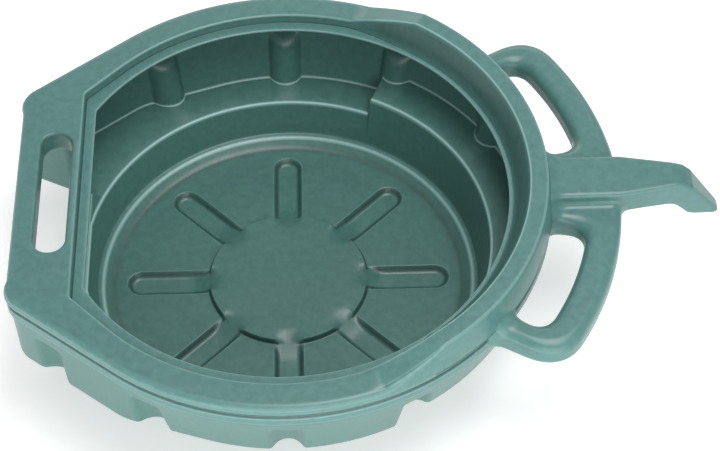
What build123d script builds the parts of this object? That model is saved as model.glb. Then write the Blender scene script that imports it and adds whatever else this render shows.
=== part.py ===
from build123d import *
import os
from math import cos, sin, radians, hypot

os.makedirs("parts", exist_ok=True)

# ---------------------------------------------------------------- dimensions
# Moulded oil drain pan, millimetres, +Z up, +X towards the pouring spout.
# The origin is at the middle of the bounding box in plan, on the resting plane.
wall = 3.0            # skin thickness of the moulding
bowl_x = -75.5        # centre of the round bowl

rim_r = 239.0         # outer radius of the rolled rim
rim_left = 240.0      # bowl centre to the straight edge of the left deck
tangent_az = 127.5    # azimuth where the round rim turns into the straight flanks
deck_corner_r = 24.0  # rounding of the two deck corners

open_r = 200.0        # radius of the opening
open_chord = 172.0    # bowl centre to the straight left side of the opening
band_r = 211.0        # outer radius of the recessed band round the opening
band_chord = 182.0

hub_r = 73.5          # raised round hub in the floor
spoke_r_end = 137.0   # centre of the rounded outer end of a spoke groove
spoke_half = 12.0     # half width of a spoke groove

z_groove = 3.0        # bottom of the spoke grooves, inside
z_panel = 8.0         # floor panels between the grooves
z_hub = 13.0          # top of the hub
z_step_in = 51.0      # inner edge of the ledge
z_step_out = 56.0     # outer edge of the ledge
ledge_raise = 21.0    # how much higher the ledge is on the spout side
ledge_az = 62.0       # half angle of the raised ledge
z_skirt = 118.0       # bottom of the rim moulding, top of the bowl
z_band = 137.0        # recessed band, level of the opening
z_rim = 145.0         # top of the rim and of the deck
z_guard = 164.0       # top of the raised guard round the pouring side
guard_az = 70.0       # half angle of the guard
guard_flat_az = 56.0  # half angle of its level part

inset_top = 3.0       # bowl wall inside the rim's outline, at the top
inset_foot = 21.0     # and at the ledge
z_foot = 53.0
inset_flank = 7.5     # the same foot, along the straight flanks
inset_left = 3.5      # and along the left side
foot_leave_az = 108.0 # azimuth where the foot leaves its circle

flute_r = 10.0        # outer flutes, with half-round ribs inside
flute_depth = 7.0
z_flute_top = 106.0
flute_azimuths = (30.0, 60.0, 90.0, 120.0)
flank_flute_x = 203.0

pocket_x = 187.4      # back of the hand pocket under the deck
pocket_half_in = 73.2
pocket_half_out = 101.2

slot_x = 204.5        # middle of the hand slot
slot_w = 28.0
slot_l = 136.0
z_sleeve = 124.0

grip_in = 270.0       # inner radius of the D-handle bar
grip_out = 300.0
grip_lo, grip_hi = 111.0, 137.0
grip_split = 124.0
hole_az = (10.0, 35.5)

spout_half = 24.0
spout_lo, spout_hi = 122.0, 149.0
spout_split = 132.0
spout_end = 391.0


def at(z):
    return Plane(origin=(bowl_x, 0, z), x_dir=(1, 0, 0), z_dir=(0, 0, 1))


def radial(az):
    a = radians(az)
    return Plane(origin=(bowl_x, 0, 0), x_dir=(cos(a), sin(a), 0), z_dir=(sin(a), -cos(a), 0))


spin = Axis((bowl_x, 0, 0), (0, 0, 1))


def d_outline(inset, corner=deck_corner_r):
    """Round outline with straight flanks to a straight left edge."""
    r, left = rim_r - inset, rim_left - inset
    c, s = cos(radians(tangent_az)), sin(radians(tangent_az))
    cy = (r + left * c) / s
    far, near = (r * c, r * s), (r * c, -r * s)
    with BuildLine() as edge:
        CenterArc((0, 0), r, -tangent_az, 2 * tangent_az)
        FilletPolyline(far, (-left, cy), (-left, -cy), near, radius=max(4.0, corner - inset * 0.5))
    make_face(edge.line.edges())


def foot_outline(grow=0.0):
    """Foot of the outer wall: round, with flanks and a left side that stay nearly upright."""
    r, left = rim_r - inset_foot - grow, rim_left - inset_left - grow
    leave, flank = radians(foot_leave_az), radians(tangent_az)
    d = rim_r - inset_flank - grow
    t = (d - r * cos(flank - leave)) / sin(flank - leave)
    px, py = r * cos(leave) - t * sin(leave), r * sin(leave) + t * cos(leave)
    cy = (d + left * cos(flank)) / sin(flank)
    start = (r * cos(leave), r * sin(leave))
    with BuildLine() as edge:
        CenterArc((0, 0), r, -foot_leave_az, 2 * foot_leave_az)
        FilletPolyline(start, (px, py), (-left, cy), (-left, -cy), (px, -py), (start[0], -start[1]), radius=20.0)
    make_face(edge.line.edges())


def skirt_outline(inset):
    """The rim's outline, divided to match the foot of the wall."""
    r, left = rim_r - inset, rim_left - inset
    c, s = cos(radians(tangent_az)), sin(radians(tangent_az))
    cy = (r + left * c) / s
    mid = (foot_leave_az + tangent_az) / 2
    far, near = (r * c, r * s), (r * c, -r * s)
    with BuildLine() as edge:
        CenterArc((0, 0), r, -foot_leave_az, 2 * foot_leave_az)
        for a, b in ((foot_leave_az, mid), (mid, tangent_az), (-tangent_az, -mid), (-mid, -foot_leave_az)):
            CenterArc((0, 0), r, a, b - a)
        FilletPolyline(far, (-left, cy), (-left, -cy), near, radius=max(4.0, deck_corner_r - inset * 0.5))
    make_face(edge.line.edges())


def chord_outline(r, chord):
    """Circle with a straight left side."""
    Circle(r)
    with Locations((-chord - 100, 0)):
        Rectangle(200, 2 * r + 10, mode=Mode.SUBTRACT)


def pocket_outline(grow=0.0):
    k = hypot(72.0, pocket_half_out - pocket_half_in) / 72.0
    slope = (pocket_half_out - pocket_half_in) / 72.0
    x_in = pocket_x - grow
    y_in = pocket_half_in + grow * k - slope * grow
    x_out = 256.0
    y_out = y_in + slope * (x_out - x_in)
    with BuildLine() as edge:
        Polyline((-x_in, y_in), (-x_out, y_out), (-x_out, -y_out), (-x_in, -y_in), close=True)
    make_face(edge.line.edges())


def flute_spots():
    """Foot point, outward azimuth and lean of each flute, on the bowl's outer face."""
    spots = []
    for az in flute_azimuths:
        for sgn in (1, -1):
            a = radians(az * sgn)
            r = (rim_r - inset_foot) / cos(radians(max(az - foot_leave_az, 0.0)))
            spots.append((r * cos(a), r * sin(a), az * sgn, rim_r - inset_top - r))
    c, s = cos(radians(tangent_az)), sin(radians(tangent_az))
    for sgn in (1, -1):
        x = -flank_flute_x
        y = ((rim_r - inset_flank) - x * c) / s
        spots.append((x, sgn * y, sgn * tangent_az, inset_flank - inset_top))
    return spots


def flutes(radius):
    """Upright U-shaped cutters that lean outwards with the bowl wall."""
    for x, y, az, lean_r in flute_spots():
        lean_z = z_skirt - z_foot
        n = hypot(lean_r, lean_z)
        a = radians(az)
        up = (cos(a) * lean_r / n, sin(a) * lean_r / n, lean_z / n)
        out = (cos(a) * lean_z / n, sin(a) * lean_z / n, -lean_r / n)
        back = 24.0
        foot = Plane(
            origin=(bowl_x + x - up[0] * back, y - up[1] * back, z_foot - up[2] * back),
            x_dir=out, z_dir=up)
        with BuildSketch(foot) as shape:
            with Locations((flute_r - flute_depth, 0)):
                Circle(radius)
            with Locations((flute_r - flute_depth + 15.0, 0)):
                Rectangle(30.0, 2 * radius)
        grow = radius - flute_r
        extrude(shape.sketch, amount=back + (z_flute_top - z_foot + grow) * n / lean_z, mode=Mode.SUBTRACT)


# inner face of the lower bowl, (radius, height), from the hub to the ledge
lower = [
    (0.0, z_hub), (hub_r, z_hub), (hub_r + 4.0, z_panel), (150.0, z_panel),
    (158.0, z_panel + 1.0), (166.0, z_panel + 3.0), (171.5, z_panel + 5.0),
    (175.0, z_panel + 6.0), (178.0, z_panel + 11.0), (185.5, z_step_in), (216.0, z_step_out),
]
# outer face, one wall thickness away
lower_out = [
    (0.0, z_hub - wall), (hub_r - 1.3, z_hub - wall), (hub_r + 2.7, z_panel - wall),
    (150.4, z_panel - wall), (158.7, z_panel + 1.0 - wall), (167.0, z_panel + 3.0 - wall),
    (172.6, z_panel + 5.2 - wall), (176.9, z_panel + 6.4 - wall), (180.8, z_panel + 10.0),
    (188.0, z_step_in - wall + 0.3), (218.0, z_step_out - wall),
]

# ---------------------------------------------------------------- bowl
with BuildPart() as bowl_inside:
    with BuildSketch(at(z_step_out)):
        foot_outline(2.3)
    with BuildSketch(at(z_skirt)):
        skirt_outline(inset_top + 3.1)
    loft(ruled=True)
    with BuildSketch(at(z_skirt)):
        d_outline(inset_top + 3.1)
    extrude(amount=4.0)
    with BuildSketch(radial(0)):
        with BuildLine():
            Polyline(*lower[:-1], (215.0, z_step_out), (209.0, z_step_out + 6.0), (0.0, z_step_out + 6.0), close=True)
        make_face()
    revolve(axis=spin)
    flutes(flute_r + wall)
    # wall at the back of the hand pocket, with a shelf over the lower bowl
    with BuildSketch(at(z_foot - 1.0 - wall)):
        pocket_outline(wall)
    extrude(amount=90.0, mode=Mode.SUBTRACT)
    # solid block under the raised ledge
    with BuildSketch(radial(-ledge_az)):
        with BuildLine():
            Polyline((185.5, z_step_in - 4.0), (186.6, z_step_in + ledge_raise),
                     (226.0, z_step_out + ledge_raise + 1.0), (226.0, z_step_in - 4.0), close=True)
        make_face()
    revolve(axis=spin, revolution_arc=2 * ledge_az, mode=Mode.SUBTRACT)
    for k in range(8):
        a = radians(45.0 * k)
        with BuildSketch(at(z_groove)):
            with Locations((cos(a) * (hub_r + spoke_r_end) / 2, sin(a) * (hub_r + spoke_r_end) / 2)):
                SlotCenterToCenter(spoke_r_end - hub_r + 4.0, 2 * spoke_half, rotation=45.0 * k)
            Circle(hub_r + 3.9, mode=Mode.SUBTRACT)
        extrude(amount=6.0)

with BuildPart() as pan_bowl:
    with BuildSketch(at(z_foot)):
        foot_outline()
    with BuildSketch(at(z_skirt)):
        skirt_outline(inset_top)
    loft(ruled=True)
    with BuildSketch(radial(0)):
        with BuildLine():
            Polyline(*lower_out[:-1], (217.0, z_foot), (200.0, z_foot + 6.0), (0.0, z_foot + 6.0), close=True)
        make_face()
    revolve(axis=spin)
    flutes(flute_r)
    with BuildSketch(at(z_foot - 1.0)):
        pocket_outline(0.0)
    extrude(amount=80.0, mode=Mode.SUBTRACT)
    # clear space under the raised ledge
    with BuildSketch(radial(-ledge_az + 0.8)):
        with BuildLine():
            Polyline((188.5, z_step_in - 12.0), (189.4, z_step_in + ledge_raise - wall + 0.4),
                     (226.0, z_step_out + ledge_raise + 1.0 - wall), (260.0, z_step_out + ledge_raise + 1.0 - wall),
                     (260.0, z_step_in - 12.0), close=True)
        make_face()
    revolve(axis=spin, revolution_arc=2 * (ledge_az - 0.8), mode=Mode.SUBTRACT)
    for k in range(8):
        a = radians(45.0 * k)
        with BuildSketch(at(0.0)):
            with Locations((cos(a) * (hub_r + spoke_r_end) / 2, sin(a) * (hub_r + spoke_r_end) / 2)):
                SlotCenterToCenter(spoke_r_end - hub_r + 4.0, 2 * (spoke_half + wall), rotation=45.0 * k)
            Circle(hub_r + 0.9, mode=Mode.SUBTRACT)
        extrude(amount=6.0)
    add(bowl_inside.part, mode=Mode.SUBTRACT)

# the bowl in four zones, parted at its creases: floor, lower wall, ledge, upper wall
floor_r = 176.0
ledge_r = 190.0
deep_cut, raised_cut = z_step_out + 1.5, z_step_out + ledge_raise + 1.5

with BuildPart() as bowl_floor:
    add(pan_bowl.part)
    with BuildSketch(at(-5.0)):
        Circle(floor_r)
    extrude(amount=35.0, mode=Mode.INTERSECT)

with BuildPart() as bowl_lower_wall:
    add(pan_bowl.part)
    with BuildSketch(at(-5.0)):
        Circle(ledge_r)
        Circle(floor_r, mode=Mode.SUBTRACT)
    extrude(amount=deep_cut + 5.0 + ledge_raise, mode=Mode.INTERSECT)
    # the back of the hand pocket belongs to the upper wall
    with BuildSketch(at(z_foot)):
        with Locations((-200.0, 0)):
            Rectangle(60.0, 200.0)
    extrude(amount=60.0, mode=Mode.SUBTRACT)

with BuildPart() as ledge_zone:
    with BuildSketch(at(-5.0)):
        Circle(300.0)
        Circle(ledge_r, mode=Mode.SUBTRACT)
    extrude(amount=deep_cut + 5.0)
    with BuildSketch(radial(-ledge_az)):
        with BuildLine():
            Polyline((ledge_r, deep_cut - 1.0), (300.0, deep_cut - 1.0), (300.0, raised_cut), (ledge_r, raised_cut), close=True)
        make_face()
    revolve(axis=spin, revolution_arc=2 * ledge_az)

with BuildPart() as bowl_ledge:
    add(pan_bowl.part)
    add(ledge_zone.part, mode=Mode.INTERSECT)

with BuildPart() as bowl_upper_wall:
    add(pan_bowl.part)
    add(bowl_floor.part, mode=Mode.SUBTRACT)
    add(bowl_lower_wall.part, mode=Mode.SUBTRACT)
    add(bowl_ledge.part, mode=Mode.SUBTRACT)

# ---------------------------------------------------------------- raised guard
guard_out = [(202.0, z_band), (218.0, z_guard), (232.0, z_guard), (235.5, z_guard - 3.0),
             (rim_r, z_band)]
guard_in = [(205.4, z_band - 1.0), (205.9, z_band), (220.0, z_guard - wall), (230.8, z_guard - wall),
            (232.6, z_guard - 4.2), (rim_r - wall, z_band), (rim_r - wall, z_band - 1.0)]


def guard_ends(drop):
    """Slanted cuts that bring the guard down to the rim at both ends."""
    mid = (guard_az + guard_flat_az) / 2
    half = 225.0 * radians(guard_az - guard_flat_az) / 2
    for sgn in (1, -1):
        a = radians(mid * sgn)
        p = Plane(origin=(bowl_x + 170.0 * cos(a), 170.0 * sin(a), 0),
                  x_dir=(-sin(a) * sgn, cos(a) * sgn, 0), z_dir=(cos(a), sin(a), 0))
        # in this plane x runs away from the spout and y is up or down, depending on the side
        up = 1.0 if p.y_dir.Z > 0 else -1.0
        with BuildSketch(p) as wedge:
            with BuildLine():
                Polyline((-half, up * (z_guard - drop)), (half * 1.6, up * (z_rim - 5.6 - drop)),
                         (half * 1.6, up * 200.0), (-half, up * 200.0), close=True)
            make_face()
        extrude(wedge.sketch, amount=100.0, mode=Mode.SUBTRACT)


with BuildPart() as guard_block:
    with BuildSketch(radial(-guard_az)):
        with BuildLine():
            Polyline(*guard_out, close=True)
        make_face()
    revolve(axis=spin, revolution_arc=2 * guard_az)

with BuildPart() as guard_core:
    with BuildSketch(radial(-guard_az + 0.8)):
        with BuildLine():
            Polyline(*guard_in, close=True)
        make_face()
    revolve(axis=spin, revolution_arc=2 * (guard_az - 0.8))
    guard_ends(wall)

with BuildPart() as pour_guard:
    add(guard_block.part)
    guard_ends(0.0)
    add(guard_core.part, mode=Mode.SUBTRACT)

# ---------------------------------------------------------------- rim and deck
with BuildPart() as rim_deck:
    with BuildSketch(at(z_skirt)):
        d_outline(0.0)
    extrude(amount=z_rim - z_skirt)
    fillet(rim_deck.faces().sort_by(Axis.Z)[-1].edges(), radius=7.0)
    # inside of the channel, open towards the bowl, with the pocket walls left standing
    with BuildSketch(at(z_skirt + wall)):
        d_outline(wall)
        with BuildSketch(mode=Mode.PRIVATE) as pocket_grown:
            pocket_outline(wall)
        add(pocket_grown.sketch, mode=Mode.SUBTRACT)
    extrude(amount=z_band - wall - z_skirt - wall, mode=Mode.SUBTRACT)
    with BuildSketch(at(z_band - wall)):
        d_outline(wall + 0.6)
        with BuildSketch(mode=Mode.PRIVATE) as band_grown:
            chord_outline(band_r + wall, band_chord + wall)
        add(band_grown.sketch, mode=Mode.SUBTRACT)
    extrude(amount=z_rim - z_band - 0.4, mode=Mode.SUBTRACT)
    # bottom flange, as wide as the top of the bowl wall
    with BuildSketch(at(z_skirt - 1.0)):
        d_outline(inset_top + 3.1)
        with BuildSketch(mode=Mode.PRIVATE) as pocket_grown:
            pocket_outline(wall)
        add(pocket_grown.sketch, mode=Mode.SUBTRACT)
    extrude(amount=wall + 1.0, mode=Mode.SUBTRACT)
    # opening and the recessed band round it
    with BuildSketch(at(z_skirt - 1.0)):
        chord_outline(open_r, open_chord)
    extrude(amount=60.0, mode=Mode.SUBTRACT)
    with BuildSketch(at(z_band)):
        chord_outline(band_r, band_chord)
    extrude(amount=20.0, mode=Mode.SUBTRACT)
    # hand pocket under the deck
    with BuildSketch(at(z_skirt - 1.0)):
        pocket_outline(0.0)
        with Locations((-rim_left + wall - 60.0, 0)):
            Rectangle(120.0, 400.0, mode=Mode.SUBTRACT)
    extrude(amount=z_rim - wall - z_skirt + 1.0, mode=Mode.SUBTRACT)
    with BuildSketch(at(z_skirt - 1.0)):
        pocket_outline(0.0)
    extrude(amount=11.0, mode=Mode.SUBTRACT)
    # hand slot
    with BuildSketch(at(z_skirt)):
        with Locations((-slot_x, 0)):
            SlotOverall(slot_l + 2 * wall, slot_w + 2 * wall, rotation=90)
    extrude(amount=60.0, mode=Mode.SUBTRACT)
    # room for the guard
    add(guard_block.part, mode=Mode.SUBTRACT)
    # passage into the spout
    with BuildSketch(Plane(origin=(bowl_x + 225.0, 0, 0), x_dir=(0, 1, 0), z_dir=(1, 0, 0))):
        with Locations((0, (spout_lo + wall + z_band - wall) / 2)):
            Rectangle(2 * (spout_half - wall) - 4.0, z_band - spout_lo - 2 * wall)
    extrude(amount=30.0, mode=Mode.SUBTRACT)

# the round rim and the carrying deck, parted across the two flanks
deck_cut_x = bowl_x - 158.0
with BuildPart() as rim_ring:
    add(rim_deck.part)
    split(bisect_by=Plane.YZ.offset(deck_cut_x), keep=Keep.TOP)

with BuildPart() as carry_deck:
    add(rim_deck.part)
    split(bisect_by=Plane.YZ.offset(deck_cut_x), keep=Keep.BOTTOM)

with BuildPart() as grip_slot_sleeve:
    with BuildSketch(at(z_sleeve)):
        with Locations((-slot_x, 0)):
            SlotOverall(slot_l + 2 * wall, slot_w + 2 * wall, rotation=90)
            SlotOverall(slot_l, slot_w, rotation=90, mode=Mode.SUBTRACT)
    extrude(amount=z_rim - z_sleeve)


# ---------------------------------------------------------------- D-handles
def handle_outline(sgn, inset=0.0):
    r_body, r_out = rim_r + inset, grip_out - inset
    y0 = spout_half + inset
    a = (((r_body**2 - y0**2) ** 0.5), sgn * y0)
    b = (((r_out**2 - y0**2) ** 0.5), sgn * y0)
    k_az = radians(38.2 - inset * 0.5)
    k = (r_out * cos(k_az), sgn * r_out * sin(k_az))
    d = (192.0 + inset * 0.3, sgn * (171.0 - inset))
    e_az = radians(46.8 - inset * 0.9)
    e = (r_body * cos(e_az), sgn * r_body * sin(e_az))
    m_az = radians(20.0)
    with BuildLine() as edge:
        Line(a, b)
        ThreePointArc(b, (r_out * cos(m_az), sgn * r_out * sin(m_az)), k)
        Line(k, d)
        Line(d, e)
        ThreePointArc(e, (r_body * cos(m_az), sgn * r_body * sin(m_az)), a)
    make_face(edge.line.edges())
    return k, d


def handle_hole(sgn, inset=0.0):
    az0, az1 = hole_az[0] - inset * 0.22, hole_az[1] + inset * 0.22
    r0, r1 = rim_r - 5.0, grip_in + inset
    a0, a1, am = radians(az0), radians(az1), radians((az0 + az1) / 2)
    with BuildLine() as edge:
        Line((r0 * cos(a0), sgn * r0 * sin(a0)), (r1 * cos(a0), sgn * r1 * sin(a0)))
        ThreePointArc((r1 * cos(a0), sgn * r1 * sin(a0)), (r1 * cos(am), sgn * r1 * sin(am)),
                      (r1 * cos(a1), sgn * r1 * sin(a1)))
        Line((r1 * cos(a1), sgn * r1 * sin(a1)), (r0 * cos(a1), sgn * r0 * sin(a1)))
        ThreePointArc((r0 * cos(a1), sgn * r0 * sin(a1)), (r0 * cos(am), sgn * r0 * sin(am)),
                      (r0 * cos(a0), sgn * r0 * sin(a0)))
    make_face(edge.line.edges())


def nearest(builder, spot):
    return sorted(builder.vertices(), key=lambda v: hypot(v.X - spot[0], v.Y - spot[1]))[0]


def handle_plan(sgn, inset=0.0):
    """Plan of one D-handle with its finger hole, in the bowl's own coordinates."""
    with BuildSketch(mode=Mode.PRIVATE) as hole:
        handle_hole(sgn, inset)
        for az in hole_az:
            az = az + (0.22 if az == hole_az[1] else -0.22) * inset
            r1 = grip_in + inset
            spot = (r1 * cos(radians(az)), sgn * r1 * sin(radians(az)))
            fillet(nearest(hole, spot), radius=14.0 + inset)
    with BuildSketch(mode=Mode.PRIVATE) as plan:
        k, d = handle_outline(sgn, inset)
        fillet(nearest(plan, k), radius=27.0 - inset)
        fillet(nearest(plan, d), radius=16.0)
        add(hole.sketch, mode=Mode.SUBTRACT)
    return plan.sketch


def handle_half(sgn, upper):
    """Upper or lower half shell of a D-handle."""
    with BuildPart() as half:
        with BuildSketch(at(grip_lo)):
            add(handle_plan(sgn))
        extrude(amount=grip_hi - grip_lo)
        far_edges = [e for f in (half.faces().sort_by(Axis.Z)[0], half.faces().sort_by(Axis.Z)[-1])
                     for e in f.edges()
                     if hypot(e.center().X - bowl_x, e.center().Y) > rim_r + 1.5
                     and abs(abs(e.center().Y) - spout_half) > 1.0]
        try:
            fillet(far_edges, radius=8.0)
        except Exception:
            print("handle rounding fell back to a chamfer")
            chamfer(far_edges, length=4.0)
        with BuildSketch(at(grip_lo + wall)):
            add(handle_plan(sgn, wall))
        extrude(amount=grip_hi - grip_lo - 2 * wall, mode=Mode.SUBTRACT)
        split(bisect_by=Plane.XY.offset(grip_split), keep=Keep.TOP if upper else Keep.BOTTOM)
    return half.part


# ---------------------------------------------------------------- spout
spout_side = [
    (rim_r, spout_hi), (346.0, spout_hi), (358.0, spout_hi - 3.5), (367.0, 137.0), (388.0, 108.0),
    (spout_end, 102.0), (387.0, 99.5), (366.0, 103.0), (359.0, 107.0), (350.0, 117.0), (343.0, spout_lo),
    (rim_r, spout_lo),
]
spout_bore = [
    (rim_r - 1.0, spout_hi - wall), (345.5, spout_hi - wall), (356.5, spout_hi - 6.3), (364.6, 135.0),
    (385.3, 106.4), (386.0, 98.0), (369.0, 98.0), (367.0, 106.0), (361.0, 109.4), (352.2, 119.3),
    (344.5, spout_lo + wall), (rim_r - 1.0, spout_lo + wall),
]


def spout_plan(inset=0.0, start=0.0):
    pts = [(rim_r - start, spout_half - inset), (299.0, spout_half - inset), (346.0, 15.5 - inset),
           (spout_end + 1.0 - inset, 9.5 - inset)]
    with BuildLine() as edge:
        Polyline(*pts, *[(x, -y) for x, y in reversed(pts)], close=True)
    make_face(edge.line.edges())


spout_slab = Plane(origin=(bowl_x, 40.0, 0), x_dir=(1, 0, 0), z_dir=(0, -1, 0))

with BuildPart() as spout_core:
    with BuildSketch(spout_slab):
        with BuildLine():
            Polyline(*spout_bore, close=True)
        make_face()
    extrude(amount=80.0)
    with BuildSketch(at(80.0)):
        spout_plan(wall, 1.0)
    extrude(amount=100.0, mode=Mode.INTERSECT)

with BuildPart() as rim_body:
    with BuildSketch(at(90.0)):
        d_outline(0.0)
    extrude(amount=80.0)


def spout_half_shell(upper):
    with BuildPart() as shell:
        with BuildSketch(spout_slab):
            with BuildLine():
                Polyline(*spout_side, close=True)
            make_face()
        extrude(amount=80.0)
        with BuildSketch(at(80.0)):
            spout_plan(0.0, 4.0)
        extrude(amount=100.0, mode=Mode.INTERSECT)
        add(spout_core.part, mode=Mode.SUBTRACT)
        add(rim_body.part, mode=Mode.SUBTRACT)
        split(bisect_by=Plane.XY.offset(spout_split), keep=Keep.TOP if upper else Keep.BOTTOM)
    return shell.part


pieces = {
    "bowl_floor": bowl_floor.part,
    "bowl_lower_wall": bowl_lower_wall.part,
    "bowl_ledge": bowl_ledge.part,
    "bowl_upper_wall": bowl_upper_wall.part,
    "rim_ring": rim_ring.part,
    "carry_deck": carry_deck.part,
    "pour_guard": pour_guard.part,
    "grip_slot_sleeve": grip_slot_sleeve.part,
    "front_handle_upper": handle_half(-1, True),
    "front_handle_lower": handle_half(-1, False),
    "rear_handle_upper": handle_half(1, True),
    "rear_handle_lower": handle_half(1, False),
    "spout_upper": spout_half_shell(True),
    "spout_lower": spout_half_shell(False),
}
for name, piece in pieces.items():
    piece.label = name
    export_step(piece, "parts/" + name + ".step")
    print(name, "solids", len(piece.solids()), "volume", round(piece.volume))
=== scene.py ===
from math import acos, asin, atan2, cos, degrees, hypot, pi, radians, sin, sqrt

import bmesh
import bpy
import numpy as np
from mathutils import Matrix, Vector


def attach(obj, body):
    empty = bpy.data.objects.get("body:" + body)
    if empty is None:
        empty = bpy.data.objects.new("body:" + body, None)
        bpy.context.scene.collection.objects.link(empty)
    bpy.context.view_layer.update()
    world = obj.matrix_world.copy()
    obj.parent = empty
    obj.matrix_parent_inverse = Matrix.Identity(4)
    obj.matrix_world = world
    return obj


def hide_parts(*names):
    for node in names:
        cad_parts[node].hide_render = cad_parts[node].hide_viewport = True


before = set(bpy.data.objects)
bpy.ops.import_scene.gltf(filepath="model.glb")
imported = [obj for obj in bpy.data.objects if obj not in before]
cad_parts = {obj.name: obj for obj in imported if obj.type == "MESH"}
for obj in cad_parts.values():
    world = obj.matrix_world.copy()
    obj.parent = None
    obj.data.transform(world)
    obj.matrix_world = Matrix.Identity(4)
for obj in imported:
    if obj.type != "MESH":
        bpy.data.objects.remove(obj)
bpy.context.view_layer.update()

# The pan's own coordinates: millimetres from the bowl's axis, x towards the spout.
BOWL_X = -75.5
RIM_R, RIM_L, FLANK, CORNER = 239.0, 240.0, radians(127.5), 24.0
OPEN_R, OPEN_L = 200.0, 172.0
BAND_R, BAND_L, BAND_FLANK = 211.0, 182.0, radians(135.0)
Z_RIM, Z_BAND, Z_GUARD, Z_SKIRT = 145.0, 137.0, 164.0, 118.0
POCKET_AZ = radians(158.6)


# ------------------------------------------------------------------ outlines
def outline(th, r0, left, flank, rc):
    """Distance from the bowl's axis to a round outline with straight flanks to a straight left side."""
    t = np.abs(np.asarray(th, float))
    c, s = cos(flank), sin(flank)
    r = np.full_like(t, r0)
    m = t > flank
    with np.errstate(divide="ignore", invalid="ignore"):
        side = r0 / np.cos(np.minimum(t - flank, 1.5))
        edge = np.where(np.cos(t) < -1e-6, left / np.maximum(-np.cos(t), 1e-6), 1e9)
    r = np.where(m, np.minimum(side, edge), r)
    cx = -(left - rc)
    cy = ((r0 - rc) - cx * c) / s
    t1, t2 = atan2(cy + rc * s, cx + rc * c), atan2(cy, -left)
    k = (t > t1) & (t < t2)
    b = np.cos(t) * cx + np.sin(t) * cy
    q = np.maximum(b * b - cx * cx - cy * cy + rc * rc, 0.0)
    return np.where(k, b + np.sqrt(q), r)


def d_line(th, inset):
    return outline(th, RIM_R - inset, RIM_L - inset, FLANK, max(4.0, CORNER - inset * 0.5))


def open_line(th):
    return outline(th, OPEN_R, OPEN_L, acos(-OPEN_L / OPEN_R) - 0.02, 5.0)


def band_line(th):
    return outline(th, BAND_R, BAND_L, BAND_FLANK, 7.0)


def sstep(a, b, x):
    t = np.clip((np.asarray(x, float) - a) / (b - a), 0.0, 1.0)
    return t * t * (3 - 2 * t)


def columns(n, peaks):
    """n azimuths round the circle, denser near each (azimuth, half width, weight) in degrees."""
    g = np.linspace(-180.0, 180.0, 36001)
    w = np.ones_like(g)
    for az, half, gain in peaks:
        for a in (az, -az):
            w += gain * np.exp(-(((g - a) / half) ** 2) * 1.2)
    cdf = np.concatenate([[0.0], np.cumsum((w[1:] + w[:-1]) / 2)])
    cdf /= cdf[-1]
    return np.radians(np.interp((np.arange(n) + 0.5) / n, cdf, g))


# ------------------------------------------------------------------ meshes
def make_object(name, verts, faces, sharp=None, smooth=True):
    me = bpy.data.meshes.new(name)
    me.from_pydata(np.asarray(verts).tolist(), [], faces)
    me.validate(verbose=False)
    me.update()
    ob = bpy.data.objects.new(name, me)
    bpy.context.scene.collection.objects.link(ob)
    if smooth:
        me.polygons.foreach_set("use_smooth", np.ones(len(me.polygons), bool))
        if sharp:
            me.set_sharp_from_angle(angle=radians(sharp))
    return ob


def to_world(p):
    """Bowl millimetres to row metres."""
    p = np.asarray(p, float)
    return np.stack([(p[..., 0] + BOWL_X) * 0.001, p[..., 1] * 0.001, p[..., 2] * 0.001], -1)


def grid_normals(p, closed=True):
    """Unit normals of a (rows, columns, 3) grid, columns running round."""
    dr = np.empty_like(p)
    dr[1:-1] = p[2:] - p[:-2]
    dr[0], dr[-1] = p[1] - p[0], p[-1] - p[-2]
    dc = np.roll(p, -1, 1) - np.roll(p, 1, 1)
    n = np.cross(dr, dc)
    ln = np.linalg.norm(n, axis=-1, keepdims=True)
    return n / np.maximum(ln, 1e-9)


def smooth_rows(n, arc, sigma):
    """Normals averaged along the rows over about sigma millimetres."""
    out = np.zeros_like(n)
    rows = n.shape[0]
    for i in range(rows):
        lo, hi = max(0, i - 14), min(rows, i + 15)
        d = arc[lo:hi] - arc[i]
        w = np.exp(-((d / sigma) ** 2))
        seg = np.gradient(arc, axis=0)[lo:hi] + 0.05
        out[i] = (n[lo:hi] * (w * seg)[..., None]).sum(0)
    ln = np.linalg.norm(out, axis=-1, keepdims=True)
    return out / np.maximum(ln, 1e-9)


def foot_line(th):
    """The foot of the bowl's outer wall: round, with nearly upright flanks and left side."""
    t = np.abs(np.asarray(th, float))
    leave = radians(108.0)

    def line(d, phi):
        q = np.clip(t - phi, -1.45, 1.45)
        return d / np.cos(q)

    def soft(a, b, k):
        h = np.clip(0.5 + 0.5 * (b - a) / k, 0, 1)
        return b * (1 - h) + a * h - k * h * (1 - h)

    first = np.where(t > leave, 218.0 / np.cos(np.clip(t - leave, 0, 1.3)), 218.0)
    left = np.where(t > 1.75, 236.5 / np.maximum(-np.cos(t), 0.15), 900.0)
    flank = np.where(t > radians(100.0), line(231.5, FLANK), 900.0)
    return soft(soft(first, flank, 3.0), left, 9.0)


def edge_strength(p):
    """How far the skin bends along its rows: up to 1 on convex edges and down to -1 in hollows, used for painted
    highlight and painted shade.
    """
    n = grid_normals(p)
    seg = np.linalg.norm(np.diff(p, axis=0), axis=-1)
    turn = np.zeros(p.shape[:2])
    d = p[1:] - p[:-1]
    u = d / np.maximum(np.linalg.norm(d, axis=-1, keepdims=True), 1e-9)
    bend = np.arccos(np.clip((u[1:] * u[:-1]).sum(-1), -1, 1))
    side = ((u[1:] - u[:-1]) * n[1:-1]).sum(-1)
    turn[1:-1] = np.where(side < 0, bend, -bend)
    length = np.maximum(0.5 * (seg[1:] + seg[:-1]), 0.3)
    out = np.zeros_like(turn)
    out[1:-1] = np.clip(turn[1:-1] / length * 1.6, -1, 1)
    return out


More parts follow.
